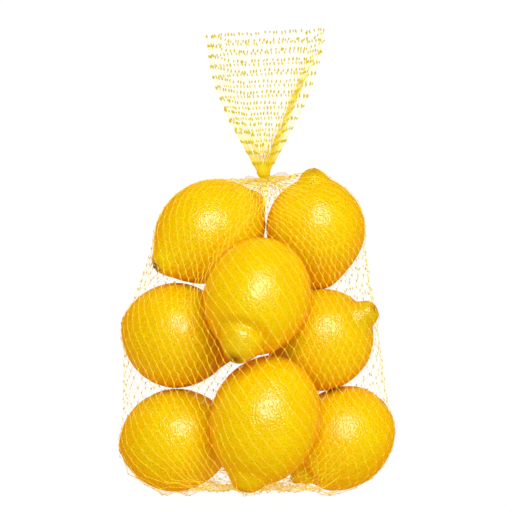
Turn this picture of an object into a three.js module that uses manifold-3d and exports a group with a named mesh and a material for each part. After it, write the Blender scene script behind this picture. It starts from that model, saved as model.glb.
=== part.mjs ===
// A net of lemons lying on its back: six lemons underneath, two on top of them, in one
// yellow tube of netting. The netting is gathered to a knot at the top and fans out above it,
// and it is gathered again at the bottom. Millimetres, +Z up, the knot and the fan towards +Y.
import * as THREE from 'three';
import { ConvexGeometry } from 'three/addons/geometries/ConvexGeometry.js';
import { mergeVertices } from 'three/addons/utils/BufferGeometryUtils.js';
import Module from 'manifold-3d';

const wasm = await Module();
wasm.setup();

// ---- driving sizes -------------------------------------------------------------------------

const netSkin = 0.85; // strands, joints and small folds lying over the fruit
const webInset = 6; // how far the taut netting between two fruits lies below their outsides
const clearance = 0.3; // between neighbouring pieces
const lemonSides = 20;
const lemonRings = 14;

// Each lemon: its middle, diameter, length of body, height of the nipple at its blossom end,
// how sharp that nipple is, how tapered the body is, and where the nipple points (degrees:
// heading from +X towards +Y, pitch above the floor).
const lemons = [
  { at: [-27, 17.5, 28.5], across: 56, along: 68, nipple: 4, nippleSpread: 0.34, taper: 1.18, heading: 34, pitch: -8 },
  { at: [34, 18, 28], across: 55, along: 62, nipple: 5, nippleSpread: 0.32, taper: 1.15, heading: 93, pitch: 4 },
  { at: [-45.5, -42, 30], across: 59, along: 64, nipple: 4, nippleSpread: 0.34, taper: 1.18, heading: -15, pitch: 0 },
  { at: [38.5, -43.5, 32], across: 57, along: 58, nipple: 8, nippleSpread: 0.24, taper: 1.05, heading: 28, pitch: 25 },
  { at: [-46, -101, 29.5], across: 58, along: 64, nipple: 4, nippleSpread: 0.34, taper: 1.08, heading: 10, pitch: 12 },
  { at: [48.5, -100, 28.5], across: 56, along: 66, nipple: 7, nippleSpread: 0.26, taper: 1.1, heading: 222, pitch: 0 },
  { at: [0.5, -17, 67.5], across: 59, along: 66, nipple: 11, nippleSpread: 0.26, taper: 1.05, heading: -112, pitch: 30 },
  { at: [5, -85.5, 66], across: 60, along: 71, nipple: 6, nippleSpread: 0.3, taper: 1.08, heading: -108, pitch: -8 },
];
const stemBump = 2; // every lemon swells a little where its stem was
const stemSpread = 0.38;

// The pinch above the fruit, where the netting is closed.
const neck = { x: 3, y: 48, z: 28, radius: 1.3, length: 1.5, coneLength: 13, coneRadius: 14 };
// The same at the bottom, tucked between the lowest lemons.
const heel = { x: -6, y: -124.5, z: 20, radius: 1.3, length: 1, coneLength: 9, coneRadius: 12 };

const knot = { radius: 3.6, length: 6.3, topRadius: 3.2 };
const heelKnot = { radius: 2.8, length: 4.6, topRadius: 1.4 };

const tail = {
  rootHalfWidth: 5.4,
  endHalfWidth: 33.3,
  rootHalfThickness: 3.2,
  endHalfThickness: 2.6,
  endY: 131.5,
  endRise: 1.2, // the cut edge climbs this much from one corner to the other
  endZ: 5.2,
  drift: 3, // sideways, from the knot to the cut edge
  pleat: 1.5,
  pleats: 2.5,
  droop: 1.35,
};

const tie = { ringWall: 0.5, ringWidth: 1.2, bladeThickness: 0.5, rootWidth: 0.8 };
const tieBlades = [
  { reach: 15.4, rise: 3.4, endWidth: 3.6 },
  { reach: -10.6, rise: 1.4, endWidth: 2.8 },
];

// ---- helpers -------------------------------------------------------------------------------

// A closed three.js geometry as a solid that can be joined and cut.
function solidOf(geometry) {
  const bare = geometry.clone();
  bare.deleteAttribute('normal');
  bare.deleteAttribute('uv');
  const merged = mergeVertices(bare, 1e-4);
  const vertProperties = new Float32Array(merged.attributes.position.array);
  const triVerts = new Uint32Array(merged.index.array);
  return new wasm.Manifold(new wasm.Mesh({ numProp: 3, vertProperties, triVerts }));
}

function geometryOf(solid) {
  const mesh = solid.getMesh();
  const geometry = new THREE.BufferGeometry();
  geometry.setAttribute('position', new THREE.BufferAttribute(new Float32Array(mesh.vertProperties), 3));
  geometry.setIndex(new THREE.BufferAttribute(new Uint32Array(mesh.triVerts), 1));
  geometry.computeVertexNormals();
  return geometry;
}

const smooth = (t) => t * t * (3 - 2 * t);

function namedMesh(name, geometry, colour, roughness) {
  const material = new THREE.MeshStandardMaterial({ color: colour, roughness, metalness: 0 });
  const mesh = new THREE.Mesh(geometry, material);
  mesh.name = name;
  return mesh;
}

// ---- the fruit and the netting round it ----------------------------------------------------

// A lemon turned on its own axis, +Y towards the nipple. grow swells it evenly.
function lemonGeometry(lemon, grow, withNipple) {
  const halfLength = lemon.along / 2 + grow;
  const radius = (lemon.across / 2 + grow) / Math.cos(Math.PI / lemonSides);
  const profile = [];
  for (let ring = 0; ring <= lemonRings; ring += 1) {
    const turn = Math.PI * (1 - ring / lemonRings); // from the stem to the nipple
    const nippleShare = withNipple / (1 + (turn / lemon.nippleSpread) ** 4);
    const stemShare = 1 / (1 + ((Math.PI - turn) / stemSpread) ** 4);
    const along = halfLength * Math.cos(turn) + lemon.nipple * nippleShare - stemBump * stemShare;
    const across = ring === 0 || ring === lemonRings ? 0 : radius * Math.sin(turn) ** lemon.taper;
    profile.push(new THREE.Vector2(across, along));
  }
  const geometry = new THREE.LatheGeometry(profile, lemonSides);
  const heading = THREE.MathUtils.degToRad(lemon.heading);
  const pitch = THREE.MathUtils.degToRad(lemon.pitch);
  const axis = new THREE.Vector3(
    Math.cos(heading) * Math.cos(pitch),
    Math.sin(heading) * Math.cos(pitch),
    Math.sin(pitch),
  );
  const turned = new THREE.Quaternion().setFromUnitVectors(new THREE.Vector3(0, 1, 0), axis);
  geometry.applyQuaternion(turned);
  geometry.translate(...lemon.at);
  return geometry;
}

// The netting between the fruits is taut, so it follows the hull of the slightly smaller fruits.
function webGeometry() {
  const points = [];
  for (const lemon of lemons) {
    const position = lemonGeometry(lemon, -webInset, 0).attributes.position;
    for (let i = 0; i < position.count; i += 1) {
      points.push(new THREE.Vector3().fromBufferAttribute(position, i));
    }
  }
  return new ConvexGeometry(points);
}

// A gather: wide where it leaves the fruit, then a short straight pinch that ends at y = 0.
function gatherGeometry(gather) {
  const steps = 6;
  const profile = [new THREE.Vector2(0, -gather.length - gather.coneLength)];
  for (let step = 0; step <= steps; step += 1) {
    const t = step / steps;
    const flare = (1 - t) ** 1.6;
    const across = gather.radius + (gather.coneRadius - gather.radius) * flare;
    profile.push(new THREE.Vector2(across, -gather.length - gather.coneLength * (1 - t)));
  }
  profile.push(new THREE.Vector2(gather.radius, 0));
  profile.push(new THREE.Vector2(0, 0));
  return new THREE.LatheGeometry(profile, 16);
}

function bagGeometry() {
  let bag = solidOf(webGeometry());
  for (const lemon of lemons) {
    bag = bag.add(solidOf(lemonGeometry(lemon, netSkin, 1)));
  }
  const top = gatherGeometry(neck);
  top.translate(neck.x, neck.y, neck.z);
  const bottom = gatherGeometry(heel);
  bottom.rotateZ(Math.PI);
  bottom.translate(heel.x, heel.y, heel.z);
  bag = bag.add(solidOf(top)).add(solidOf(bottom));
  const ground = new THREE.BoxGeometry(500, 500, 50);
  ground.translate(0, 0, -25);
  return geometryOf(bag.subtract(solidOf(ground)));
}

// ---- knots ---------------------------------------------------------------------------------

// A knot of gathered netting, from the pinch at y = 0 to its flat top.
function knotGeometry(size, pinchRadius) {
  const steps = 7;
  const profile = [new THREE.Vector2(0, 0), new THREE.Vector2(pinchRadius, 0)];
  for (let step = 1; step <= steps; step += 1) {
    const t = step / steps;
    const swell = Math.sin(Math.PI * Math.min(t, 0.5)); // full width at half its height
    const settle = smooth(Math.max(0, 2 * t - 1));
    const across = pinchRadius + (size.radius - pinchRadius) * Math.sqrt(swell);
    profile.push(new THREE.Vector2(across + (size.topRadius - size.radius) * settle, size.length * t));
  }
  profile.push(new THREE.Vector2(0, size.length));
  return new THREE.LatheGeometry(profile, 20);
}

function topKnotGeometry() {
  const geometry = knotGeometry(knot, neck.radius);
  geometry.translate(neck.x, neck.y + clearance, neck.z);
  return geometry;
}

function heelKnotGeometry() {
  const geometry = knotGeometry(heelKnot, heel.radius);
  geometry.rotateZ(Math.PI);
  geometry.translate(heel.x, heel.y - clearance, heel.z);
  return geometry;
}

// ---- the fan of netting above the knot -----------------------------------------------------

function tailGeometry() {
  const startY = neck.y + clearance + knot.length + clearance;
  const rise = tail.endY - startY;
  const geometry = new THREE.CylinderGeometry(1, 1, 1, 40, 14);
  const position = geometry.attributes.position;
  for (let i = 0; i < position.count; i += 1) {
    const across = position.getX(i);
    const through = position.getZ(i);
    const t = position.getY(i) + 0.5;
    const spread = Math.sin((Math.PI / 2) * t);
    const halfWidth = THREE.MathUtils.lerp(tail.rootHalfWidth, tail.endHalfWidth, spread);
    const halfThickness = THREE.MathUtils.lerp(tail.rootHalfThickness, tail.endHalfThickness, t);
    const middleZ = THREE.MathUtils.lerp(neck.z, tail.endZ, t ** tail.droop);
    const pleat = tail.pleat * t * Math.sin(Math.PI * tail.pleats * across);
    position.setXYZ(
      i,
      neck.x + tail.drift * t + halfWidth * across,
      startY + rise * t + tail.endRise * t * across,
      middleZ + halfThickness * through + pleat,
    );
  }
  geometry.computeVertexNormals();
  return geometry;
}

// ---- the clear tie round the pinch ---------------------------------------------------------

function tieBladeGeometry(blade, inner) {
  const side = Math.sign(blade.reach);
  const root = side * inner;
  const shape = new THREE.Shape([
    new THREE.Vector2(root, -tie.rootWidth / 2),
    new THREE.Vector2(blade.reach, blade.rise - blade.endWidth / 2),
    new THREE.Vector2(blade.reach, blade.rise + blade.endWidth / 2),
    new THREE.Vector2(root, tie.rootWidth / 2),
  ]);
  const geometry = new THREE.ExtrudeGeometry(shape, { depth: tie.bladeThickness, bevelEnabled: false });
  geometry.translate(0, 0, -tie.bladeThickness / 2);
  return geometry;
}

function tieGeometry() {
  const inner = neck.radius + clearance;
  const outer = inner + tie.ringWall;
  const half = tie.ringWidth / 2;
  const ring = new THREE.LatheGeometry(
    [
      new THREE.Vector2(inner, -half),
      new THREE.Vector2(outer, -half),
      new THREE.Vector2(outer, half),
      new THREE.Vector2(inner, half),
      new THREE.Vector2(inner, -half),
    ],
    24,
  );
  let strip = solidOf(ring);
  for (const blade of tieBlades) {
    strip = strip.add(solidOf(tieBladeGeometry(blade, inner + tie.ringWall / 2)));
  }
  const geometry = geometryOf(strip);
  geometry.translate(neck.x, neck.y - neck.length / 2, neck.z);
  return geometry;
}

// ---- the object ----------------------------------------------------------------------------

const group = new THREE.Group();
group.add(namedMesh('net_bag', bagGeometry(), 0xf3c103, 0.42));
group.add(namedMesh('neck_knot', topKnotGeometry(), 0xe3b31a, 0.45));
group.add(namedMesh('neck_tie', tieGeometry(), 0xf2f2ec, 0.15));
group.add(namedMesh('net_tail', tailGeometry(), 0xe8c02a, 0.45));
group.add(namedMesh('bottom_knot', heelKnotGeometry(), 0xe3b31a, 0.45));

// The origin goes under the middle of the whole, at the level of the surface it lies on.
group.updateMatrixWorld(true);
const bounds = new THREE.Box3().setFromObject(group, true);
const middle = bounds.getCenter(new THREE.Vector3());
group.position.set(-middle.x, -middle.y, -bounds.min.z);

export default group;
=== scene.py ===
import math

import bmesh
import bpy
import numpy as np
from mathutils import Matrix, Vector, noise
from mathutils.bvhtree import BVHTree


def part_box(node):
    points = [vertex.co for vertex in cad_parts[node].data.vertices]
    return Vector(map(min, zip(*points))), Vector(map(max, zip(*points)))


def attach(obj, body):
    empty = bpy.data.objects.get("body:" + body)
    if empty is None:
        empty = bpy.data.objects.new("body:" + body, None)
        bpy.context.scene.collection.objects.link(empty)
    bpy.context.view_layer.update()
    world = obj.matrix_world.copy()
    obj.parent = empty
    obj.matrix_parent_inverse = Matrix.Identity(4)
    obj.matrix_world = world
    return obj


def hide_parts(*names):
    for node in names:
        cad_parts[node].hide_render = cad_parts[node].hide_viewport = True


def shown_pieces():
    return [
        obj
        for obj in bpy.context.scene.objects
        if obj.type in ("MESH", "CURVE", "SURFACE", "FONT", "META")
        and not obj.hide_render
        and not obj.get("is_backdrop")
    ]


# A net of lemons, lying on its back with the knot and the fanned tail towards +Y.
# The dictionaries are in millimetres and degrees, the meshes in metres.
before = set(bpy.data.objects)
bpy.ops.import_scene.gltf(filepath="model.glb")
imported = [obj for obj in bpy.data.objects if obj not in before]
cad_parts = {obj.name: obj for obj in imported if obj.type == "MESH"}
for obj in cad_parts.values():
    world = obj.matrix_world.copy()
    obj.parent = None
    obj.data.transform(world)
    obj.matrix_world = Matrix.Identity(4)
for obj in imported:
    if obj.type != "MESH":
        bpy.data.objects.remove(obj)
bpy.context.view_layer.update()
mm = 0.001

# The CAD model sits round the middle of its own box, so every place is counted from the knot.
knotLow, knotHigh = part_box("neck_knot")
knotStart = (3.0, 48.3, 28.0)
shift = np.array([
    (knotLow.x + knotHigh.x) / 2 - knotStart[0] * mm,
    knotLow.y - knotStart[1] * mm,
    (knotLow.z + knotHigh.z) / 2 - knotStart[2] * mm,
])
# where the middle of the gathered netting goes
knotAt = (4.0, 48.0, 28.0)


def place(point):
    return np.array(point, dtype=float) * mm + shift


def smoothStep(value):
    value = np.clip(value, 0.0, 1.0)
    return value * value * (3 - 2 * value)


lens = {"height": 1100, "aimX": -0.285, "aimY": 3.7, "widthSeen": 291.8, "level": 28, "sensor": 36}
light = {
    "skyTop": 0.46,
    "skyEdge": 0.80,
    "skyEdgeTint": (1, 0.46, 0.13),
    "skyTopTint": (1, 0.93, 0.68),
    "skyHead": 0.55,  # times as strong from the tail's side
    "skyFoot": 1.45,  # and from the foot of the bag
    "skyGloss": 0.08,
    "boxWatts": 38.0,
    "boxColour": (0.97, 1.0, 0.92),
    "boxSize": 1650,
    "boxFar": 2200,
    "boxTilt": 31,  # from straight above, towards the tail
    "boxTurn": 18,  # from the tail towards +X
    "boxAim": (0, -40, 40),
    "floorSize": 6000,
    "floorGlow": 0.985,
    "floorBounce": 0.30,
    "floorWarm": "#FF9628",
    "floorMatt": "#34363C",
    "floorDull": "#B46A1C",
}


def addCamera():
    data = bpy.data.cameras.new("camera")
    data.sensor_width = lens["sensor"]
    data.lens = lens["sensor"] * (lens["height"] - lens["level"]) / lens["widthSeen"]
    camera = bpy.data.objects.new("camera", data)
    camera.location = place((lens["aimX"], lens["aimY"], lens["height"]))
    bpy.context.collection.objects.link(camera)
    bpy.context.scene.camera = camera


def addSoftbox():
    data = bpy.data.lights.new("softbox", "AREA")
    data.shape = "DISK"
    data.size = light["boxSize"] * mm
    data.energy = light["boxWatts"]
    data.color = light["boxColour"]
    lamp = bpy.data.objects.new("softbox", data)
    lean, bearing = math.radians(light["boxTilt"]), math.radians(light["boxTurn"])
    away = Vector((
        math.sin(lean) * math.sin(bearing),
        math.sin(lean) * math.cos(bearing),
        math.cos(lean),
    ))
    lamp.location = Vector(place(light["boxAim"])) + away * light["boxFar"] * mm
    lamp.rotation_euler = away.to_track_quat("Z", "Y").to_euler()
    bpy.context.collection.objects.link(lamp)


def hexColour(code):
    parts = [int(code[i:i + 2], 16) / 255 for i in (1, 3, 5)]
    linear = [p / 12.92 if p <= 0.04045 else ((p + 0.055) / 1.055) ** 2.4 for p in parts]
    return (*linear, 1.0)


# settings with a capital or a number are sockets, the others are the node's own choices
def addNode(tree, kind, settings, links=None):
    node = tree.nodes.new(kind)
    for key, value in settings.items():
        if isinstance(key, int) or key[0].isupper():
            node.inputs[key].default_value = value
        else:
            setattr(node, key, value)
    for key, source in (links or {}).items():
        tree.links.new(source, node.inputs[key])
    return node


def newMaterial(name):
    material = bpy.data.materials.new(name)
    material.use_nodes = True
    material.node_tree.nodes.clear()
    return material, material.node_tree


def addSky():
    world = bpy.data.worlds.new("studio")
    world.use_nodes = True
    tree = world.node_tree
    tree.nodes.clear()
    # white overhead and warm near the horizon, as among yellow fruit, and stronger from the foot
    spot = addNode(tree, "ShaderNodeTexCoord", {})
    parts = addNode(tree, "ShaderNodeSeparateXYZ", {}, {0: spot.outputs["Generated"]})
    height = addNode(
        tree, "ShaderNodeMapRange", {"From Min": 0.0, "From Max": 0.95, "To Min": 0.0, "To Max": 1.0},
        {"Value": parts.outputs["Z"]},
    )
    low = [light["skyEdge"] * part for part in light["skyEdgeTint"]]
    high = [light["skyTop"] * part for part in light["skyTopTint"]]
    tint = addNode(
        tree, "ShaderNodeMix", {"data_type": "RGBA", 6: (*low, 1), 7: (*high, 1)}, {0: height.outputs[0]},
    )
    foot = addNode(
        tree, "ShaderNodeMapRange",
        {"From Min": 0.9, "From Max": -0.9, "To Min": light["skyHead"], "To Max": light["skyFoot"]},
        {"Value": parts.outputs["Y"]},
    )
    # a matt surround: it lights the sides but hardly shows in the gloss
    path = addNode(tree, "ShaderNodeLightPath", {})
    seen = addNode(
        tree, "ShaderNodeMix", {3: light["skyGloss"]},
        {0: path.outputs["Is Glossy Ray"], 2: foot.outputs[0]},
    )
    glow = addNode(
        tree, "ShaderNodeBackground", {}, {"Color": tint.outputs[2], "Strength": seen.outputs[0]},
    )
    addNode(tree, "ShaderNodeOutputWorld", {}, {"Surface": glow.outputs[0]})
    bpy.context.scene.world = world


def addFloor():
    # white acrylic over a light table: it glows, so almost no shadow falls on it, but it lights the
    # fruit only as the warm light under a heap of yellow fruit would
    material, tree = newMaterial("lit_white_acrylic")
    path = addNode(tree, "ShaderNodeLightPath", {})
    glow = addNode(tree, "ShaderNodeEmission", {"Strength": light["floorGlow"]})
    matt = addNode(tree, "ShaderNodeBsdfDiffuse", {"Color": hexColour(light["floorMatt"])})
    both = addNode(tree, "ShaderNodeAddShader", {}, {0: glow.outputs[0], 1: matt.outputs[0]})
    dull = addNode(tree, "ShaderNodeBsdfDiffuse", {"Color": hexColour(light["floorDull"])})
    warm = addNode(
        tree, "ShaderNodeEmission",
        {"Color": hexColour(light["floorWarm"]), "Strength": light["floorBounce"]},
    )
    bounce = addNode(tree, "ShaderNodeAddShader", {}, {0: dull.outputs[0], 1: warm.outputs[0]})
    floorSkin = addNode(
        tree, "ShaderNodeMixShader", {},
        {0: path.outputs["Is Camera Ray"], 1: bounce.outputs[0], 2: both.outputs[0]},
    )
    addNode(tree, "ShaderNodeOutputMaterial", {}, {"Surface": floorSkin.outputs[0]})
    bm = bmesh.new()
    bmesh.ops.create_grid(bm, x_segments=1, y_segments=1, size=light["floorSize"] * mm / 2)
    floor = addPiece("floor", bm, material)
    floor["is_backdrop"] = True


def faceOut(bm):
    bm.normal_update()
    bmesh.ops.recalc_face_normals(bm, faces=bm.faces)


def addPiece(name, bm, *materials):
    mesh = bpy.data.meshes.new(name)
    bm.to_mesh(mesh)
    bm.free()
    return addMesh(name, mesh, *materials)


def addMesh(name, mesh, *materials):
    for material in materials:
        mesh.materials.append(material)
    piece = bpy.data.objects.new(name, mesh)
    bpy.context.collection.objects.link(piece)
    return piece


def finishPiece(piece, slot, *nodes):
    for polygon in piece.data.polygons:
        polygon.use_smooth = True
    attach(piece, "root")
    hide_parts(*nodes)


bpy.context.scene.view_settings.view_transform = "Standard"
addCamera()
addSky()
addSoftbox()
addFloor()
print("stage: camera, lights and floor")


# heading is where the nipple points, from +X towards +Y; pitch is its rise above the floor;
# nipple is how far it stands out, spread how wide it is and knob how steep its sides are;
# furrow is how deep the crease round it is, most of all on the side at furrowTurn;
# stem is how far the stem end stands out
lemons = {
    "top_left": {
        "at": (-26.4, 17.6, 29.9), "across": 57.0, "along": 70, "nipple": 4, "spread": 0.34, "taper": 1.18,
        "heading": 34, "pitch": -25, "furrow": 0.5, "furrowTurn": 90, "green": 0.1, "stem": 4.8,
    },
    "top_right": {
        "at": (33.6, 19.5, 28.5), "across": 56.2, "along": 58, "nipple": 5.5, "spread": 0.30, "taper": 1.1,
        "heading": 93, "pitch": 14, "furrow": 0.9, "furrowTurn": 0, "green": 0.3, "scar": 0.15,
        "stem": 6.6, "stemSpread": 0.6,
    },
    "mid_left": {
        "at": (-45.5, -41.5, 30.2), "across": 59.8, "along": 64, "nipple": 4, "spread": 0.34, "taper": 1.18,
        "heading": -15, "pitch": 8, "furrow": 0.4, "furrowTurn": 200, "green": 0.05, "stem": 0.0,
    },
    "mid_right": {
        "at": (36.6, -44.0, 32), "across": 57, "along": 62, "nipple": 7.0, "spread": 0.27, "taper": 1.05,
        "heading": 32, "pitch": 23, "furrow": 1.2, "furrowTurn": 30, "green": 0.65, "knob": 8,
    },
    "bottom_left": {
        "at": (-46, -101, 29.5), "across": 58, "along": 64, "nipple": 4, "spread": 0.34, "taper": 1.08,
        "heading": 10, "pitch": 12, "furrow": 0.5, "furrowTurn": 120, "green": 0.05, "stem": 1.0,
    },
    "bottom_right": {
        "at": (48.5, -100, 28.5), "across": 56, "along": 66, "nipple": 4.5, "spread": 0.18, "taper": 1.12,
        "heading": 220, "pitch": 9, "furrow": 3.2, "furrowTurn": 80, "green": 0.2, "stem": -1.8,
    },
    "front_upper": {
        "at": (0.6, -18.0, 70.3), "across": 58.8, "along": 68.5, "nipple": 9.5, "spread": 0.35,
        "taper": 1.05, "heading": -110, "pitch": 35, "furrow": 3.4, "furrowTurn": 60, "green": 0.5,
        "knob": 4.5, "scar": 0.14, "stem": -1.0, "creaseAt": 0.56, "creaseWidth": 0.08,
    },
    "front_lower": {
        "at": (4.7, -86.2, 67.35), "across": 60.4, "along": 71.5, "nipple": 5.5, "spread": 0.3,
        "taper": 1.0, "heading": -108, "pitch": 13, "furrow": 0.8, "furrowTurn": 60, "green": 0.15,
        "stem": 0.4,
    },
}
fruit = {
    "segments": 168,
    "rings": 128,
    "knob": 4,
    "stem": 2.0,
    "stemSpread": 0.38,
    "stemWell": 1.1,  # depth, and below its width, in radians from the end as every width here
    "wellWidth": 0.11,
    "tipDimple": 0.5,
    "dimpleWidth": 0.05,
    "creaseAt": 0.46,
    "creaseWidth": 0.12,
    "creaseAround": 0.35,  # how much of it goes all the way round
    "ribs": 9,
    "ribShare": 0.010,
    "lumpShare": 0.012,
    "lumpSizes": (34, 15),
    "rippleDepth": 0.16,
    "rippleSize": 4.2,
    "scar": 0.09,
    "scarAtStem": 0.12,
    "greenWidth": 0.42,
}


def own(lemon, key):
    return lemon.get(key, fruit[key])


def share(turn, spread, knob):
    return 1 / (1 + (turn / spread) ** knob)


def dip(turn, width):
    return np.exp(-((turn / width) ** 2))


# the lemon's outline: how far along its axis and how far out from it, at a turn from the nipple's tip
def outline(lemon, turn):
    along = lemon["along"] / 2 * np.cos(turn)
    along = along + lemon["nipple"] * share(turn, lemon["spread"], own(lemon, "knob"))
    along = along - own(lemon, "stem") * share(math.pi - turn, own(lemon, "stemSpread"), fruit["knob"])
    across = lemon["across"] / 2 * np.clip(np.sin(turn), 0, 1) ** lemon["taper"]
    return along, across


def axesOf(lemon):
    heading, pitch = math.radians(lemon["heading"]), math.radians(lemon["pitch"])
    axis = np.array([
        math.cos(heading) * math.cos(pitch),
        math.sin(heading) * math.cos(pitch),
        math.sin(pitch),
    ])
    side = np.cross([0, 0, 1], axis)
    side /= np.linalg.norm(side)
    return axis, side, np.cross(axis, side)


def addLemon(name, lemon, number, material):
    bm = bmesh.new()
    bmesh.ops.create_uvsphere(bm, u_segments=fruit["segments"], v_segments=fruit["rings"], radius=1)
    ball = np.array([v.co for v in bm.verts])
    turn = np.arccos(np.clip(ball[:, 2], -1, 1))
    around = np.arctan2(ball[:, 1], ball[:, 0])
    along, across = outline(lemon, turn)
    # a crease round the foot of the nipple, a dimple at its tip and a well for the stem
    crease = dip(turn - own(lemon, "creaseAt"), own(lemon, "creaseWidth"))
    sideways = (0.5 + 0.5 * np.cos(around - math.radians(lemon["furrowTurn"]))) ** 2
    crease *= fruit["creaseAround"] + (1 - fruit["creaseAround"]) * sideways
    across -= lemon["furrow"] * crease
    along -= lemon["furrow"] * crease * 0.5
    along -= fruit["tipDimple"] * dip(turn, fruit["dimpleWidth"])
    fromStem = math.pi - turn
    along += fruit["stemWell"] * dip(fromStem, fruit["wellWidth"])
    ribs = dip(fromStem - 0.28, 0.16) + 0.6 * dip(turn - 0.5, 0.2)
    across *= 1 + fruit["ribShare"] * ribs * np.cos(fruit["ribs"] * around + number)
    axis, side, up = axesOf(lemon)
    out = np.cos(around)[:, None] * side + np.sin(around)[:, None] * up
    points = along[:, None] * axis + across[:, None] * out
    seed = Vector((number * 7.3, number * 3.1, number * 5.7))
    large, small = fruit["lumpSizes"]
    for vert, point in zip(bm.verts, points):
        p = Vector(point)
        lump = noise.noise(p / large + seed) + 0.45 * noise.noise(p / small + seed)
        ripple = noise.noise(p / fruit["rippleSize"] + seed)
        p *= 1 + fruit["lumpShare"] * lump + fruit["rippleDepth"] * ripple / max(p.length, 5)
        vert.co = Vector(place(p + Vector(lemon["at"])))
    # where the peel is green and where it is scarred, for its material
    green = np.maximum(lemon["green"] * dip(turn, fruit["greenWidth"]), 0.12 * dip(fromStem, 0.3))
    scar = dip(turn, own(lemon, "scar")) + 0.5 * dip(fromStem, fruit["scarAtStem"])
    for key, values in (("ends", green), ("scar", scar)):
        layer = bm.verts.layers.float.new(key)
        for vert, value in zip(bm.verts, values):
            vert[layer] = value
    faceOut(bm)
    piece = addPiece("lemon_" + name, bm, material)
    finishPiece(piece, "lemon_peel", "net_bag")
    return piece


peel = {
    "deep": "#EFD100",
    "mid": "#F1DA00",
    "light": "#F3E200",
    "green": "#C9B420",
    "scar": "#6E4A14",
    "poreSize": 1.35,
    "pore": "#EFCB00",
    "poreDepth": 0.24,
    "bounceShade": "#FA9600",  # the colour of the light it passes on: a painted shade, deeper orange than the peel, that deepens the crevices between the lemons
    "depth": 0.45,  # how much of its light comes from inside the peel, and how far that spreads
    "depthSize": 3.5,
    "roughness": 0.5,
    "shine": 0.06,
    "wax": 1.0,
    "waxRoughness": 0.11,
}


def peelMaterial():
    # lemon peel, washed and waxed: a soft gloss broken up by the pits of its oil glands
    material, tree = newMaterial("waxed_lemon_peel")
    spot = addNode(tree, "ShaderNodeTexCoord", {}).outputs["Object"]
    blotch = addNode(tree, "ShaderNodeTexNoise", {"Scale": 1 / 0.022, "Detail": 3.0}, {"Vector": spot})
    ramp = addNode(tree, "ShaderNodeValToRGB", {}, {"Fac": blotch.outputs["Fac"]})
    ramp.color_ramp.elements[0].position = 0.30
    ramp.color_ramp.elements[0].color = hexColour(peel["deep"])
    ramp.color_ramp.elements[1].position = 0.72
    ramp.color_ramp.elements[1].color = hexColour(peel["light"])
    middle = ramp.color_ramp.elements.new(0.5)
    middle.color = hexColour(peel["mid"])
    bend = addNode(tree, "ShaderNodeTexNoise", {"Scale": 1 / 0.003, "Detail": 2.0}, {"Vector": spot})
    bent = addNode(
        tree, "ShaderNodeVectorMath", {"operation": "MULTIPLY_ADD", 1: (0.0008, 0.0008, 0.0008)},
        {0: bend.outputs["Color"], 2: spot},
    )
    pores = addNode(
        tree, "ShaderNodeTexVoronoi",
        {"feature": "SMOOTH_F1", "Scale": 1 / (peel["poreSize"] * mm), "Smoothness": 0.6},
        {"Vector": bent.outputs[0]},
    )
    pit = addNode(
        tree, "ShaderNodeMapRange", {"From Min": 0.12, "From Max": 0.55, "To Min": 0.0, "To Max": 1.0},
        {"Value": pores.outputs["Distance"]},
    )
    poreTint = addNode(
        tree, "ShaderNodeMix", {"data_type": "RGBA", 6: hexColour(peel["pore"])},
        {0: pit.outputs[0], 7: ramp.outputs["Color"]},
    )
    ends = addNode(tree, "ShaderNodeAttribute", {"attribute_name": "ends"})
    greened = addNode(
        tree, "ShaderNodeMix", {"data_type": "RGBA", 7: hexColour(peel["green"])},
        {0: ends.outputs["Fac"], 6: poreTint.outputs[2]},
    )
    scar = addNode(tree, "ShaderNodeAttribute", {"attribute_name": "scar"})
    colour = addNode(
        tree, "ShaderNodeMix", {"data_type": "RGBA", 7: hexColour(peel["scar"])},
        {0: scar.outputs["Fac"], 6: greened.outputs[2]},
    )
    # painted shade: light passed from one lemon to the next picks up a deeper orange than the peel's own
    # colour, which darkens the crevices between the lemons to orange
    path = addNode(tree, "ShaderNodeLightPath", {})
    base = addNode(
        tree, "ShaderNodeMix", {"data_type": "RGBA", 6: hexColour(peel["bounceShade"])},
        {0: path.outputs["Is Camera Ray"], 7: colour.outputs[2]},
    )
    grain = addNode(tree, "ShaderNodeTexNoise", {"Scale": 1 / 0.0007, "Detail": 2.0}, {"Vector": spot})
    height = addNode(
        tree, "ShaderNodeMath", {"operation": "MULTIPLY_ADD", 1: 0.25},
        {0: grain.outputs["Fac"], 2: pit.outputs[0]},
    )
    bump = addNode(
        tree, "ShaderNodeBump", {"Strength": 0.7, "Distance": peel["poreDepth"] * mm},
        {"Height": height.outputs[0]},
    )
    skin = addNode(
        tree, "ShaderNodeBsdfPrincipled",
        {
            "Roughness": peel["roughness"], "IOR": 1.4, "Specular IOR Level": peel["shine"],
            "Subsurface Weight": peel["depth"],
            "Subsurface Radius": (1.0, 0.34, 0.06), "Subsurface Scale": peel["depthSize"] * mm,
            "Coat Weight": peel["wax"], "Coat Roughness": peel["waxRoughness"], "Coat IOR": 1.64,
        },
        {"Base Color": base.outputs[2], "Normal": bump.outputs[0], "Coat Normal": bump.outputs[0]},
    )
    addNode(tree, "ShaderNodeOutputMaterial", {}, {"Surface": skin.outputs[0]})
    return material


peelSkin = peelMaterial()
lemonPieces = [
    addLemon(name, lemon, number, peelSkin) for number, (name, lemon) in enumerate(lemons.items())
]
print("stage: lemons")


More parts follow.
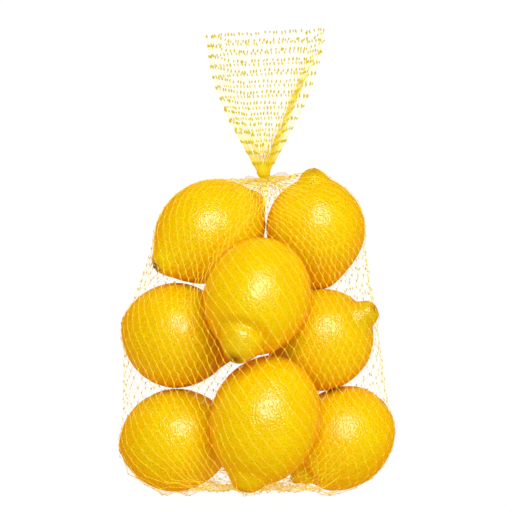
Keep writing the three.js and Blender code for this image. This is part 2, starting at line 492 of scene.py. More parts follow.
# Extruded diamond netting: two families of strands, one leaning each way, fused where they cross.
# Joint (row, j) runs on to (row + 1, j) in the outer family and to (row + 1, j - 1) in the inner one.
net = {
    "around": 64,
    "rows": 58,
    "bar": 6.0,
    "strand": 0.38,  # across
    "joint": (0.40, 0.34, 0.85),  # half sizes of the fused crossing: sideways, thick, lengthways
    "jointSizes": (0.75, 1.05),  # from the smallest to the largest, times the half sizes
    "pinchRadius": 0.7,
    "clump": 0.96,
    "clumps": 8,
    "clumpRows": 9,
    "bunch": 0.72,
    "bunchWidth": 8.0,
    "gather": ((4.0, 53), (4.5, 44), (5.5, 34), (7.0, 20)),
    "gatherAbove": 29.5,
    "jitter": 0.28,
    "hemTop": -112,
    "hemFade": 10,
    "hemRuffle": 4.5,
    "hemSize": 7.0,
    "hemDrop": 0.12,
    "crease": ((6, 42), (-6.5, 22), (-18, 8), (-29, -6), (-35, -20), (-38, -32)),
    "creaseAbove": 33,
    "top": (4.0, 47.5, 28.0),
    "heel": (-6.0, -124.5, 20.0),
    "twist": 0.07,  # of a turn, from the knot to the heel
    "tension": 0.35,
    "uneven": 0.35,
    "pulls": 240,
    "sag": 2.0,  # below the hull of the fruit
    "outerSlack": (0.004, 0.02),  # share of a bar's length, on the fruit and hanging free
    "innerSlack": (0.02, 0.10),
    "outerGap": 0.46,
    "innerGap": 0.24,
    "jointGap": 0.36,
    "floorGap": 0.24,
}


# distance from a lemon's outline, looked up on a grid along and out from its axis
def fieldOf(lemon):
    along, across = outline(lemon, np.linspace(0, math.pi, 361))
    low, high = along.min() - 8, along.max() + 8
    cell = 0.5
    columns, rows = int((high - low) / cell) + 2, int((across.max() + 8) / cell) + 2
    s, r = np.meshgrid(low + cell * np.arange(columns), cell * np.arange(rows), indexing="ij")
    gap = np.full(s.shape, 1e9)
    for a, b in zip(along, across):
        gap = np.minimum(gap, np.hypot(s - a, r - b))
    order = np.argsort(along)
    inside = r < np.interp(s, along[order], across[order], left=-1, right=-1)
    return {
        "middle": np.array(lemon["at"], dtype=float), "axis": axesOf(lemon)[0], "low": low, "cell": cell,
        "gap": np.where(inside, -gap, gap),
    }


def liftOff(points, clearance, fields):
    for field in fields:
        away = points - field["middle"]
        s = away @ field["axis"]
        radial = away - s[..., None] * field["axis"]
        r = np.linalg.norm(radial, axis=-1) + 1e-9
        grid = field["gap"]
        column, row = (s - field["low"]) / field["cell"], r / field["cell"]
        near = (column > 0) & (column < grid.shape[0] - 1.001) & (row < grid.shape[1] - 1.001)
        column, row = column[near], row[near]
        i, j = column.astype(int), row.astype(int)
        u, v = column - i, row - j
        a, b, c, d = grid[i, j], grid[i + 1, j], grid[i, j + 1], grid[i + 1, j + 1]
        gap = (a * (1 - u) + b * u) * (1 - v) + (c * (1 - u) + d * u) * v
        slopeS = (b - a) * (1 - v) + (d - c) * v
        slopeR = (c - a) * (1 - u) + (d - b) * u
        steep = np.hypot(slopeS, slopeR) + 1e-9
        push = np.clip(clearance - gap, 0, 6)
        outward = (slopeS / steep)[:, None] * field["axis"]
        outward = outward + (slopeR / steep / r[near])[:, None] * radial[near]
        points[near] += push[:, None] * outward


def evenAlong(path, fractions):
    steps = np.linalg.norm(np.diff(path, axis=0), axis=1)
    far = np.concatenate([[0], np.cumsum(steps)])
    wanted = np.asarray(fractions) * far[-1]
    return np.stack([np.interp(wanted, far, path[:, k]) for k in range(3)], axis=-1)


def hullOfFruit():
    bm = bmesh.new()
    for lemon in lemons.values():
        axis, side, up = axesOf(lemon)
        for turn in np.linspace(0, math.pi, 19):
            along, across = outline(lemon, turn)
            for around in np.linspace(0, 2 * math.pi, 24, endpoint=False):
                out = math.cos(around) * side + math.sin(around) * up
                bm.verts.new(np.array(lemon["at"]) + along * axis + across * out)
    bm.verts.new(net["top"])
    bm.verts.new(net["heel"])
    bmesh.ops.convex_hull(bm, input=bm.verts)
    faceOut(bm)
    hull = BVHTree.FromBMesh(bm)
    bm.free()
    return hull


# the netting's first lie: stretched over the hull of the fruit, from the knot to the heel
def wrapHull(hull):
    top, heel = np.array(net["top"]), np.array(net["heel"])
    middle = (top + heel) / 2
    axis = (top - heel) / np.linalg.norm(top - heel)
    right = np.cross(axis, [0, 0, 1])
    right /= np.linalg.norm(right)
    up = np.cross(right, axis)
    rows, meridians = net["rows"] + 1, 96
    lies = np.zeros((rows, meridians, 3))
    for m in range(meridians):
        bearing = 2 * math.pi * m / meridians - math.pi / 2
        out = -math.cos(bearing) * right + math.sin(bearing) * up
        path = []
        for turn in np.linspace(0, math.pi, 181):
            hit = hull.ray_cast(middle, math.cos(turn) * axis + math.sin(turn) * out)[0]
            if hit is not None:
                path.append(np.array(hit))
        lies[:, m] = evenAlong(np.array([top, *path[1:-1], heel]), np.linspace(0, 1, rows))
    joints = np.zeros((rows, net["around"], 3))
    for row in range(rows):
        ring = np.vstack([lies[row], lies[row, :1]])
        joints[row] = evenAlong(ring, phasesOf(row) % 1.0)
    return joints


# how far round the tube each joint of a row is, as a share of a turn
def phasesOf(row):
    return (row / 2 + np.arange(net["around"])) / net["around"] + net["twist"] * row / net["rows"]


def pinchRing(at, row):
    bearing = 2 * math.pi * phasesOf(row) - math.pi / 2
    ring = np.stack([-np.cos(bearing), np.zeros_like(bearing), np.sin(bearing)], axis=-1)
    return np.array(at) + net["pinchRadius"] * ring


# how far a bar that is too long pulls its first end, as far as the other end goes back
def tighten(start, end, length):
    step = end - start
    far = np.linalg.norm(step, axis=-1, keepdims=True) + 1e-9
    return 0.35 * np.maximum(far - length, 0) / far * step


# the pull of all the bars on each joint
def pullOn(joints, length):
    outer = tighten(joints[:-1], joints[1:], length)
    inner = tighten(joints[:-1], back(joints[1:]), length)
    move = np.zeros_like(joints)
    move[:-1] += outer + inner
    move[1:] -= outer + forth(inner)
    return move


# the joint that a row's joint runs on to in the inner family stands one place back
def back(row):
    return np.roll(row, 1, axis=-2)


def forth(row):
    return np.roll(row, -1, axis=-2)


def relaxNet(fields, hull):
    joints = wrapHull(hull)
    joints[0] = pinchRing(net["top"], 0)
    joints[-1] = pinchRing(net["heel"], net["rows"])
    random = np.random.default_rng(7)
    shape = joints[:-1, :, :1].shape
    outerPull = 1 + net["uneven"] * random.uniform(-1, 1, shape)
    innerPull = 1 + net["uneven"] * random.uniform(-1, 1, shape)
    for pull in range(net["pulls"]):
        # the four bars at a joint share the tension, a little unevenly
        total = outerPull[1:] + innerPull[1:] + outerPull[:-1] + forth(innerPull[:-1])
        middle = outerPull[1:] * joints[2:] + innerPull[1:] * back(joints[2:])
        middle += outerPull[:-1] * joints[:-2] + forth(innerPull[:-1] * joints[:-2])
        joints[1:-1] += net["tension"] * (middle / total - joints[1:-1])
        for _ in range(2):
            joints[1:-1] += pullOn(joints, net["bar"])[1:-1]
        body = joints[1:-1].copy()
        if pull % 12 == 0 or pull == net["pulls"] - 1:
            keepOut(body, hull, -net["sag"])
        liftOff(body, net["jointGap"], fields)
        body[..., 2] = np.maximum(body[..., 2], net["floorGap"])
        joints[1:-1] = body
    return joints


# near its ends the netting closes up into cords, with open slits between them
def clumpEnds(joints):
    around = net["around"]
    for end, inward in ((0, 1), (net["rows"], -1)):
        for step in range(1, net["clumpRows"]):
            row = end + inward * step
            amount = net["clump"] * (1 - smoothStep((step - 1) / (net["clumpRows"] - 1)))
            waves = 2 * math.pi * net["clumps"]
            wanted = np.arange(around) - amount * np.sin(waves * phasesOf(row)) / waves * around
            first = np.floor(wanted).astype(int)
            part = (wanted - first)[:, None]
            ring = joints[row].copy()
            joints[row] = ring[first % around] * (1 - part) + ring[(first + 1) % around] * part


# small unevenness everywhere, and a loose wavy hem at the foot
def ruffleJoints(joints):
    random = np.random.default_rng(3)
    body = joints[2:-2]
    body += random.normal(0, net["jitter"], body.shape) * np.array([1, 1, 0.3])
    loose = net["hemRuffle"] * smoothStep((net["hemTop"] - body[..., 1]) / net["hemFade"])
    for spot, amount in zip(body.reshape(-1, 3), loose.reshape(-1)):
        if amount > 0.05:
            seed = Vector(spot / net["hemSize"])
            spot[0] += amount * noise.noise(seed)
            spot[1] += amount * (noise.noise(seed + Vector((7, 3, 1))) - net["hemDrop"])


# the front of the netting is drawn tight and bunched along one crease between the fruit
def bunchAlong(joints, line, above):
    front = joints[..., 2] > above
    line = evenAlong(np.array([(x, y, 0) for x, y in line], dtype=float), np.linspace(0, 1, 60))[:, :2]
    spots = joints[front][:, :2]
    apart = spots[:, None] - line
    far = np.linalg.norm(apart, axis=-1)
    nearest = far.argmin(axis=1)
    order = np.arange(len(spots))
    pull = net["bunch"] * np.exp(-((far[order, nearest] / net["bunchWidth"]) ** 2) / 2)
    pull *= smoothStep(nearest / 12) * smoothStep((59 - nearest) / 12)
    moved = joints[front]
    moved[:, :2] -= pull[:, None] * apart[order, nearest]
    joints[front] = moved


# moves points out until they lie the given gap outside a closed surface
def keepOut(points, surface, gap):
    flat = points.reshape(-1, 3)
    for i, point in enumerate(flat):
        spot, normal, _, far = surface.find_nearest(point, 9.0)
        if spot is None:
            continue
        height = (point - np.array(spot)) @ np.array(normal)
        if height < gap:
            flat[i] += (gap - height) * np.array(normal)


def normalsOf(joints):
    rounds = forth(joints) - back(joints)
    lengths = np.gradient(joints, axis=0)
    normals = np.cross(lengths, rounds)
    normals /= np.linalg.norm(normals, axis=-1, keepdims=True) + 1e-9
    middle = joints.mean(axis=(0, 1))
    facing = np.sum(normals * (joints - middle), axis=-1)
    return normals if np.median(facing) > 0 else -normals


# the middle of each bar: a slack bar bows sideways along the fruit, or droops where it hangs free
def middlesOf(start, end, normals, gaps, slacks, random):
    chord = end - start
    far = np.linalg.norm(chord, axis=-1, keepdims=True) + 1e-9
    free = smoothStep((gaps[..., None] - 0.8) / 3)
    slack = (slacks[0] + (slacks[1] - slacks[0]) * free) * random.uniform(0.3, 1.5, far.shape)
    length = np.minimum(far * (1 + slack), np.maximum(net["bar"], far))
    bow = 0.5 * np.sqrt(np.maximum(length ** 2 - far ** 2, 0))
    sideways = np.cross(normals, chord / far)
    sideways *= np.where(sideways[..., 1:2] > 0, -1, 1)
    return (start + end) / 2 + bow * sideways


# distance to the nearest fruit at each point
def gapsTo(points, surface):
    flat = points.reshape(-1, 3)
    gaps = [surface.find_nearest(point)[3] for point in flat]
    return np.array(gaps).reshape(points.shape[:-1])


# two more points on each bar, on a smooth curve through its ends and its middle
def strandPath(points, middles):
    line = np.empty((2 * len(middles) + 1, 3))
    line[0::2] = points
    line[1::2] = middles
    before = np.vstack([line[:1], line[:-2]])
    after = np.vstack([line[2:], line[-1:]])
    between = (9 * (line[:-1] + line[1:]) - before - after) / 16
    path = np.empty((2 * len(line) - 1, 3))
    path[0::2] = line
    path[1::2] = between
    return path


def outerPaths(joints, middles):
    return [strandPath(joints[:, j], middles[:, j]) for j in range(net["around"])]


def innerPaths(joints, middles):
    rows = np.arange(len(joints))
    bars = rows[:-1]
    places = [(j - rows) % net["around"] for j in range(net["around"])]
    return [strandPath(joints[rows, at], middles[bars, at[:-1]]) for at in places]


def addStrands(name, paths, material, surface, node):
    curve = bpy.data.curves.new(name, "CURVE")
    curve.dimensions = "3D"
    curve.bevel_depth = net["strand"] / 2 * mm
    curve.bevel_resolution = 1
    curve.use_fill_caps = True
    for path in paths:
        spline = curve.splines.new("POLY")
        spline.points.add(len(path) - 1)
        spots = np.ones((len(path), 4))
        spots[:, :3] = place(path)
        spline.points.foreach_set("co", spots.ravel())
    cords = bpy.data.objects.new(name, curve)
    bpy.context.collection.objects.link(cords)
    ready = cords.evaluated_get(bpy.context.evaluated_depsgraph_get())
    mesh = bpy.data.meshes.new_from_object(ready)
    bpy.data.objects.remove(cords)
    bpy.data.curves.remove(curve)
    mesh.name = name
    mesh.materials.clear()
    piece = addMesh(name, mesh, material)
    piece.visible_shadow = False  # a hair of clear yellow plastic, which hardly shades what it lies on
    markFree(piece, surface)
    finishPiece(piece, "net_plastic", node)


# the fused crossings: small long beads, each lying along the netting
def addJoints(name, joints, normals, lengths, sizes, surface, node):
    small = bmesh.new()
    bmesh.ops.create_uvsphere(small, u_segments=6, v_segments=4, radius=1)
    bead = bpy.data.meshes.new("bead")
    small.to_mesh(bead)
    small.free()
    bm = bmesh.new()
    sideways, thick, lengthways = net["joint"]
    spots = (part.reshape(-1, 3) for part in (joints, normals, lengths))
    for joint, normal, length, size in zip(*spots, sizes):
        length = Vector(length).normalized()
        side = length.cross(Vector(normal)).normalized()
        out = side.cross(length)
        turn = Matrix((side, out, length)).transposed().to_4x4()
        grow = Matrix.Diagonal((sideways * size, thick * size, lengthways * size, 1))
        spot = Matrix.Translation(Vector(place(joint))) @ Matrix.Scale(mm, 4) @ turn @ grow
        bead.transform(spot)
        bm.from_mesh(bead)
        bead.transform(spot.inverted())
    piece = addPiece(name, bm, jointPlastic)
    bpy.data.meshes.remove(bead)
    markFree(piece, surface, False)
    finishPiece(piece, "net_plastic", node)


netLook = {
    "strand": ("#FFF040", "#EEF0C0"),  # on the fruit, and hanging free of it
    "root": "#D8BA14",  # where many strands lie together
    "packedAlpha": 0.9,
    "footPacked": 0.6,
    "packedBy": 22,  # how far below the knot they still do
    "joint": ("#FFF250", "#C8BA00"),
    "knot": "#E6D018",
    "patch": 4.0,
    "looseBy": 36,  # how far up the tail its netting is still bunched
    "liftedFrom": 0.9,
    "liftedBy": 3.0,
    "freeFrom": 0.5,
    "freeBy": 1.5,
}


# the dye is a little uneven, in patches a few millimetres long
def addPatches(tree):
    spot = addNode(tree, "ShaderNodeTexCoord", {}).outputs["Object"]
    patch = addNode(
        tree, "ShaderNodeTexNoise", {"Scale": 1 / (netLook["patch"] * mm), "Detail": 1.0}, {"Vector": spot},
    )
    shade = addNode(
        tree, "ShaderNodeMapRange", {"From Min": 0.3, "From Max": 0.7, "To Min": 0.86, "To Max": 1.0},
        {"Value": patch.outputs["Fac"]},
    )
    return shade.outputs[0]


def netMaterial(name, codes, alphas, roughness, paintedGlows):
    # extruded polyethylene, dyed through and satin, tinted yellower over the fruit and paler where it hangs
    # free; its emission is a painted glow that keeps it light where it lies in shade, most where it hangs
    # free
    material, tree = newMaterial(name)
    free = addNode(tree, "ShaderNodeAttribute", {"attribute_name": "free"})
    tint = addNode(
        tree, "ShaderNodeMix", {"data_type": "RGBA", 6: hexColour(codes[0]), 7: hexColour(codes[1])},
        {0: free.outputs["Fac"]},
    )
    packed = addNode(tree, "ShaderNodeAttribute", {"attribute_name": "packed"})
    gathered = addNode(
        tree, "ShaderNodeMix", {"data_type": "RGBA", 7: hexColour(netLook["root"])},
        {0: packed.outputs["Fac"], 6: tint.outputs[2]},
    )
    lifted = addNode(tree, "ShaderNodeAttribute", {"attribute_name": "lifted"})
    over = addNode(
        tree, "ShaderNodeMapRange", {"To Min": alphas[0], "To Max": alphas[1]},
        {"Value": lifted.outputs["Fac"]},
    )
    thin = addNode(tree, "ShaderNodeMix", {3: alphas[2]}, {0: free.outputs["Fac"], 2: over.outputs[0]})
    clear = addNode(
        tree, "ShaderNodeMix", {3: netLook["packedAlpha"]}, {0: packed.outputs["Fac"], 2: thin.outputs[0]},
    )
    uneven = addNode(
        tree, "ShaderNodeVectorMath", {"operation": "SCALE"},
        {0: gathered.outputs[2], "Scale": addPatches(tree)},
    )
    # painted glow: the emission lightens the netting, more where it hangs free
    glow = addNode(
        tree, "ShaderNodeMapRange", {"To Min": paintedGlows[0], "To Max": paintedGlows[1]},
        {"Value": free.outputs["Fac"]},
    )
    plastic = addNode(
        tree, "ShaderNodeBsdfPrincipled",
        {"Roughness": roughness, "IOR": 1.5, "Specular IOR Level": 0.3},
        {
            "Base Color": uneven.outputs[0], "Emission Color": uneven.outputs[0],
            "Emission Strength": glow.outputs[0], "Alpha": clear.outputs[0],
        },
    )
    addNode(tree, "ShaderNodeOutputMaterial", {}, {"Surface": plastic.outputs[0]})
    return material


def knotMaterial():
    # the same netting pulled into a knot: satin, and packed too close to see through, with a faint painted
    # glow from its emission
    material, tree = newMaterial("gathered_netting_polyethylene")
    uneven = addNode(
        tree, "ShaderNodeVectorMath", {"operation": "SCALE", 0: hexColour(netLook["knot"])[:3]},
        {"Scale": addPatches(tree)},
    )
    plastic = addNode(
        tree, "ShaderNodeBsdfPrincipled",
        {"Roughness": 0.45, "IOR": 1.5, "Specular IOR Level": 0.3, "Emission Strength": 0.2},
        {"Base Color": uneven.outputs[0], "Emission Color": uneven.outputs[0]},
    )
    addNode(tree, "ShaderNodeOutputMaterial", {}, {"Surface": plastic.outputs[0]})
    return material


# the alphas are for netting pressed on the fruit, lifted off it and hanging free of it;
# the painted glows, emission that lightens the netting, are for netting over fruit and hanging free
strandPlastic = netMaterial(
    "netting_strand_polyethylene", netLook["strand"], (0.3, 0.4, 0.28), 0.4, (0.22, 0.5),
)
innerPlastic = netMaterial(
    "pressed_strand_polyethylene", netLook["strand"], (0.08, 0.22, 0.23), 0.4, (0.24, 0.5),
)
tailPlastic = netMaterial(
    "loose_strand_polyethylene", netLook["strand"], (0.4, 0.4, 0.22), 0.4, (0.3, 0.4),
)
jointPlastic = netMaterial(
    "netting_joint_polyethylene", netLook["joint"], (0.5, 0.55, 1.0), 0.42, (0.14, 0.34),
)
knotPlastic = knotMaterial()


# writes on each vertex how far it is lifted off the fruit, whether it hangs free with none beneath,
# and how close it lies packed with other strands
def markFree(piece, surface, gathers=True):
    mesh = piece.data
    spots = np.empty(3 * len(mesh.vertices))
    mesh.vertices.foreach_get("co", spots)
    spots = (spots.reshape(-1, 3) - shift) / mm
    lifted, free = np.ones(len(spots)), np.ones(len(spots))
    if surface is None:
        packed = 1 - fanLoose(spots)
    else:
        down = Vector((0, 0, -1))
        gaps = gapsTo(spots, surface)
        lifted = smoothStep((gaps - netLook["liftedFrom"]) / (netLook["liftedBy"] - netLook["liftedFrom"]))
        bare = np.array([surface.ray_cast(spot, down)[0] is None for spot in spots])
        free = bare * smoothStep((gaps - netLook["freeFrom"]) / (netLook["freeBy"] - netLook["freeFrom"]))
        far = np.linalg.norm(spots - net["top"], axis=-1)
        near = np.exp(-((far / netLook["packedBy"]) ** 2))
        foot = netLook["footPacked"] * smoothStep((net["hemTop"] - spots[:, 1]) / net["hemFade"])
        packed = free * np.maximum(near, foot)
    for name, values in (("lifted", lifted), ("free", free), ("packed", packed * gathers)):
        mesh.attributes.new(name, "FLOAT", "POINT").data.foreach_set("value", values)


def fruitSurface():
    bm = bmesh.new()
    for piece in lemonPieces:
        bm.from_mesh(piece.data)
    bmesh.ops.translate(bm, verts=bm.verts, vec=-Vector(shift))
    bmesh.ops.scale(bm, verts=bm.verts, vec=(1 / mm,) * 3)
    surface = BVHTree.FromBMesh(bm)
    bm.free()
    return surface


def layNet():
    fields = [fieldOf(lemon) for lemon in lemons.values()]
    hull = hullOfFruit()
    joints = relaxNet(fields, hull)
    fruitSkin = fruitSurface()
    clumpEnds(joints)
    bunchAlong(joints, net["gather"], net["gatherAbove"])
    bunchAlong(joints, net["crease"], net["creaseAbove"])
    ruffleJoints(joints)
    body = joints[1:-1].copy()
    keepOut(body, fruitSkin, net["jointGap"])
    joints[1:-1] = body
    normals = normalsOf(joints)
    gaps = gapsTo(joints, fruitSkin)
    random = np.random.default_rng(11)
    outer = middlesOf(joints[:-1], joints[1:], normals[:-1], gaps[:-1], net["outerSlack"], random)
    inner = middlesOf(joints[:-1], back(joints[1:]), normals[:-1], gaps[:-1], net["innerSlack"], random)
    for middles, gap in ((outer, net["outerGap"]), (inner, net["innerGap"])):
        keepOut(middles, fruitSkin, gap)
        middles[..., 2] = np.maximum(middles[..., 2], net["floorGap"])
    lengths = joints[2:] + back(joints[2:]) - joints[:-2] - forth(joints[:-2])
    sizes = random.uniform(*net["jointSizes"], lengths.shape[0] * lengths.shape[1])
    addStrands("net_outer_strands", outerPaths(joints, outer), strandPlastic, fruitSkin, "net_bag")
    addStrands("net_inner_strands", innerPaths(joints, inner), innerPlastic, fruitSkin, "net_bag")
    addJoints("net_joints", joints[1:-1], normals[1:-1], lengths, sizes, fruitSkin, "net_bag")


layNet()
print("stage: netting round the fruit")


fan = {
    "rows": 13,
    "rootY": 50.5,
    "endY": 135.4,
    "rootHalf": 2.6,
    "endHalf": 34.6,
    "rootThick": 3.0,
    "endThick": 2.4,
    "drift": 1.6,
    "endRise": 1.9,
    "endZ": 5.0,
    "droop": 1.35,
    "pleat": 1.2,
    "sags": (4.8, 0.6),  # how far the rows hang in the middle, in the upper and the lower layer
    # where across at the root, how that moves up the fan, width, depth, fades by
    "folds": ((0.36, 0.56, 0.26, 0.95, 0.9), (-0.36, -0.3, 0.16, 0.4, 0.4)),
    "foldPacked": 2.6,  # how wide the band of it that looks solid is
    "ruffle": 2.6,
    "ruffleSize": (9.0, 13.0),
    "jitter": 0.7,
    "barJitter": 0.10,
    "pulls": 12,
    "barRoom": 1.08,
    "lowest": 0.5,
    "jointSizes": (1.05, 1.5),
}


# how far a fold bunches the fan's netting sideways; the fan's own edges stay where they are
def foldShift(u, t, fold):
    at, moves, width, depth, fades = fold
    away = (u - at - moves * t) / width
    edge = smoothStep((1 - np.abs(u)) / 0.16)
    return depth * width * away * np.exp(-away ** 2 / 2) * edge * smoothStep((fades - t) / 0.3)


def fanHalf(t):
    return fan["rootHalf"] + (fan["endHalf"] - fan["rootHalf"]) * np.sin(math.pi / 2 * t)


# how loose the fan's netting is at a spot: 0 where it is bunched at the knot or along the fold, 1 elsewhere
def fanLoose(spots):
    t = np.clip((spots[:, 1] - fan["rootY"]) / (fan["endY"] - fan["rootY"]), 0, 1)
    at, moves, _, _, fades = fan["folds"][0]
    middle = knotAt[0] + fan["drift"] * t + fanHalf(t) * (at + moves * t)
    packed = np.exp(-(((spots[:, 0] - middle) / fan["foldPacked"]) ** 2)) * smoothStep((fades - t) / 0.4)
    return smoothStep((spots[:, 1] - knotAt[1]) / netLook["looseBy"]) * (1 - 0.85 * packed)


def fanRow(row):
    t = row / fan["rows"]
    phase = ((row / 2 + np.arange(net["around"])) / net["around"]) % 1.0
    front = phase < 0.5
    flat = np.where(front, 4 * phase - 1, 3 - 4 * phase)
    u = 0.75 * flat - 0.25 * np.cos(2 * math.pi * phase)
    side = np.where(front, 1.0, -1.0)
    half = fanHalf(t)
    thick = fan["rootThick"] + (fan["endThick"] - fan["rootThick"]) * t
    bunch = sum(foldShift(u, t, fold) for fold in fan["folds"])
    x = knotAt[0] + fan["drift"] * t + half * (u - bunch)
    y = fan["rootY"] + (fan["endY"] - fan["rootY"]) * t + fan["endRise"] * t * u
    y = y - np.where(front, *fan["sags"]) * (1 - np.abs(u) ** 5) * smoothStep(t * 3)
    z = knotAt[2] + (fan["endZ"] - knotAt[2]) * t ** fan["droop"]
    z = z + side * thick * (1 - u ** 4) * 0.5 + fan["pleat"] * t * np.sin(math.pi * 2.5 * u)
    across, along = fan["ruffleSize"]
    for j in range(net["around"]):
        spot = Vector((x[j] / across, y[j] / along, 5 * side[j]))
        y[j] += fan["ruffle"] * smoothStep(t * 3) * noise.noise(spot) * 1.6
        x[j] += fan["ruffle"] * smoothStep(t * 2) * noise.noise(spot + Vector((9, 4, 2))) * (1 - u[j] ** 2)
    return np.stack([x, y, z], axis=-1)


def layFan():
    rows = fan["rows"]
    joints = np.array([fanRow(row) for row in range(rows + 1)])
    random = np.random.default_rng(5)
    joints[1:] += random.normal(0, fan["jitter"], joints[1:].shape) * np.array([1, 1.4, 0.6])
    for _ in range(fan["pulls"]):
        joints[1:] += 0.8 * pullOn(joints, net["bar"] * fan["barRoom"])[1:]
    joints[..., 2] = np.maximum(joints[..., 2], fan["lowest"])
    outer = (joints[:-1] + joints[1:]) / 2
    inner = (joints[:-1] + back(joints[1:])) / 2
    outer += random.normal(0, fan["barJitter"], outer.shape)
    inner += random.normal(0, fan["barJitter"], inner.shape)
    lengths = np.gradient(joints, axis=0)
    normals = np.zeros_like(joints) + np.array([0, 0, 1.0])
    sizes = random.uniform(*fan["jointSizes"], rows * net["around"])
    paths = outerPaths(joints, outer) + innerPaths(joints, inner)
    addStrands("tail_strands", paths, tailPlastic, None, "net_tail")
    addJoints("tail_joints", joints[1:], normals[1:], lengths[1:], sizes, None, "net_tail")


layFan()
print("stage: fanned tail")


topKnot = {
    "outline": (
        (0.0, 0.75), (0.6, 1.9), (1.6, 3.1), (3.0, 3.7), (4.4, 3.75), (5.8, 3.3), (7.2, 2.6), (8.4, 1.5),
        (9.0, 0.0),
    ),
    "pleats": 17, "pleatDepth": 0.3, "twist": 0.9,
}
heelKnot = {
    "outline": ((0.0, 0.75), (0.5, 1.5), (1.2, 2.4), (2.3, 2.8), (3.4, 2.6), (4.2, 1.8), (4.6, 0.0)),
    "pleats": 13, "pleatDepth": 0.18, "twist": -0.7,
}


def addKnot(name, knot, start, way, node):
    bm = bmesh.new()
    along = np.array([p[0] for p in knot["outline"]])
    out = np.array([p[1] for p in knot["outline"]])
    fine = np.linspace(0, 1, 26)
    stations = np.linspace(0, 1, len(along))
    spots = [bm.verts.new((0, 0, 0))]
    for t in fine[1:]:
        spots.append(bm.verts.new((np.interp(t, stations, out), np.interp(t, stations, along), 0)))
    edges = [bm.edges.new(pair) for pair in zip(spots[:-1], spots[1:])]
    bmesh.ops.spin(
        bm, geom=spots + edges, cent=(0, 0, 0), axis=(0, 1, 0), angle=2 * math.pi, steps=102,
        use_merge=True,
    )
    bmesh.ops.remove_doubles(bm, verts=bm.verts, dist=1e-4)
    for vert in bm.verts:
        far = math.hypot(vert.co.x, vert.co.z)
        bearing = math.atan2(vert.co.z, vert.co.x)
        ridge = abs(math.sin(knot["pleats"] / 2 * (bearing + knot["twist"] * vert.co.y / 6)))
        bumpy = noise.noise(vert.co * 1.3)
        if far > 1e-3:
            grow = 1 + (knot["pleatDepth"] * (ridge - 0.6) + 0.22 * bumpy) * min(far, 1.5) / far
            vert.co.x *= grow
            vert.co.z *= grow
        vert.co = Vector(place(np.array(start) + np.array([vert.co.x, way * vert.co.y, vert.co.z])))
    faceOut(bm)
    piece = addPiece(name, bm, knotPlastic)
    finishPiece(piece, "net_plastic", node)


addKnot("top_knot", topKnot, (knotAt[0], knotAt[1] - 0.3, knotAt[2]), 1, "neck_knot")
addKnot("heel_knot", heelKnot, net["heel"], -1, "bottom_knot")

tie = {
    "thick": 0.22,
    "ringInner": 1.25,
    "ringHalf": 0.5,
    "film": "#E9E4DC",
    "filmAlpha": 0.30,
    "right": (
        (1.2, -0.5), (7.0, -0.5), (14.6, 0.6), (15.4, 2.6), (12.5, 4.6), (8.0, 4.3), (3.5, 2.2), (1.2, 0.6),
    ),
    "left": (
        (-1.2, 0.6), (-4.5, 1.9), (-8.5, 2.6), (-10.6, 1.9), (-10.2, -0.2), (-6.0, -0.7), (-1.2, -0.5),
    ),
}


def tieMaterial():
    # clear film, glossy and nearly colourless: only its edges and sheen show
    material, tree = newMaterial("clear_film")
    film = addNode(
        tree, "ShaderNodeBsdfPrincipled",
        {"Base Color": hexColour(tie["film"]), "Roughness": 0.12, "IOR": 1.5, "Alpha": tie["filmAlpha"]},
    )
    addNode(tree, "ShaderNodeOutputMaterial", {}, {"Surface": film.outputs[0]})
    return material


def addTie():
    bm = bmesh.new()
    centre = Vector((net["top"][0], net["top"][1] - 0.5, net["top"][2] - 0.6))
    for blade in (tie["right"], tie["left"]):
        face = bm.faces.new([bm.verts.new((x, y, 0.05 * x)) for x, y in blade])
        pulled = bmesh.ops.extrude_face_region(bm, geom=[face])
        raised = [g for g in pulled["geom"] if isinstance(g, bmesh.types.BMVert)]
        bmesh.ops.translate(bm, verts=raised, vec=(0, 0, tie["thick"]))
    inner, outer, half = tie["ringInner"], tie["ringInner"] + tie["thick"], tie["ringHalf"]
    a = bm.verts.new((inner, -half, 0))
    b = bm.verts.new((outer, -half, 0))
    c = bm.verts.new((outer, half, 0))
    d = bm.verts.new((inner, half, 0))
    edges = [bm.edges.new(pair) for pair in ((a, b), (b, c), (c, d), (d, a))]
    bmesh.ops.spin(
        bm, geom=[a, b, c, d, *edges], cent=(0, 0, 0), axis=(0, 1, 0), angle=2 * math.pi, steps=32,
        use_merge=True,
    )
    bmesh.ops.translate(bm, verts=bm.verts, vec=centre)
    bmesh.ops.scale(bm, verts=bm.verts, vec=(mm,) * 3)
    bmesh.ops.translate(bm, verts=bm.verts, vec=Vector(shift))
    faceOut(bm)
    piece = addPiece("neck_tie_film", bm, tieMaterial())
    finishPiece(piece, "clear_plastic", "neck_tie")


addTie()

button = {
    "radius": 2.9,
    "height": 1.0,
    "sunk": 0.9,
    "lobes": 5,
    "lobeDepth": 0.28,
    "dark": "#4E3614",
    "pale": "#D0B27C",
}


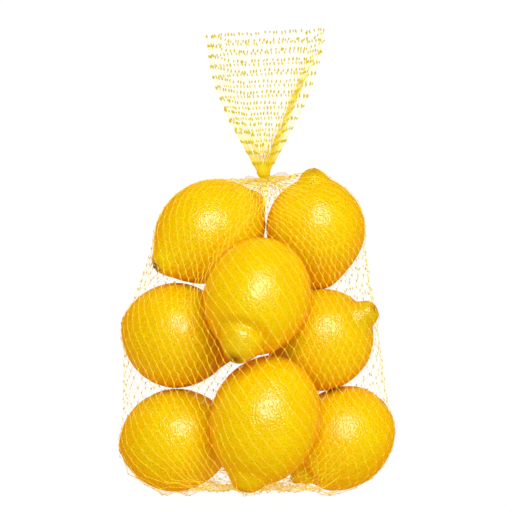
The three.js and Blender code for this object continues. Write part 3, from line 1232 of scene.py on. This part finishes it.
def buttonMaterial():
    # dried stem button: rough brown cork with a green-grey cast
    material, tree = newMaterial("dried_stem_button")
    spot = addNode(tree, "ShaderNodeTexCoord", {}).outputs["Object"]
    grain = addNode(tree, "ShaderNodeTexNoise", {"Scale": 1 / 0.0009, "Detail": 4.0}, {"Vector": spot})
    tint = addNode(tree, "ShaderNodeValToRGB", {}, {"Fac": grain.outputs["Fac"]})
    tint.color_ramp.elements[0].position = 0.35
    tint.color_ramp.elements[0].color = hexColour(button["dark"])
    tint.color_ramp.elements[1].position = 0.65
    tint.color_ramp.elements[1].color = hexColour(button["pale"])
    bump = addNode(
        tree, "ShaderNodeBump", {"Strength": 0.7, "Distance": 0.2 * mm}, {"Height": grain.outputs["Fac"]},
    )
    cork = addNode(
        tree, "ShaderNodeBsdfPrincipled", {"Roughness": 0.8},
        {"Base Color": tint.outputs["Color"], "Normal": bump.outputs[0]},
    )
    addNode(tree, "ShaderNodeOutputMaterial", {}, {"Surface": cork.outputs[0]})
    return material


def addButtons():
    bm = bmesh.new()
    for number, lemon in enumerate(lemons.values()):
        axis, side, up = axesOf(lemon)
        along, _ = outline(lemon, math.pi)
        level = along + fruit["stemWell"] - button["sunk"]
        ball = bmesh.ops.create_uvsphere(bm, u_segments=40, v_segments=12, radius=1)
        for vert in ball["verts"]:
            bearing = math.atan2(vert.co.y, vert.co.x)
            reach = 1 + button["lobeDepth"] * math.cos(button["lobes"] * bearing + number)
            out = math.cos(bearing) * side + math.sin(bearing) * up
            far = math.hypot(vert.co.x, vert.co.y) * reach * button["radius"]
            rise = vert.co.z * button["height"] * (1 - 0.45 * math.exp(-((far / 0.9) ** 2)))
            point = np.array(lemon["at"]) + (level - rise) * axis + far * out
            vert.co = Vector(place(point))
    faceOut(bm)
    piece = addPiece("stem_buttons", bm, buttonMaterial())
    finishPiece(piece, "lemon_peel", "net_bag")


addButtons()
print("stage: knots, tie and stem buttons")

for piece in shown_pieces():
    piece.data.calc_loop_triangles()
    print("piece", piece.name, len(piece.data.loop_triangles), "triangles")
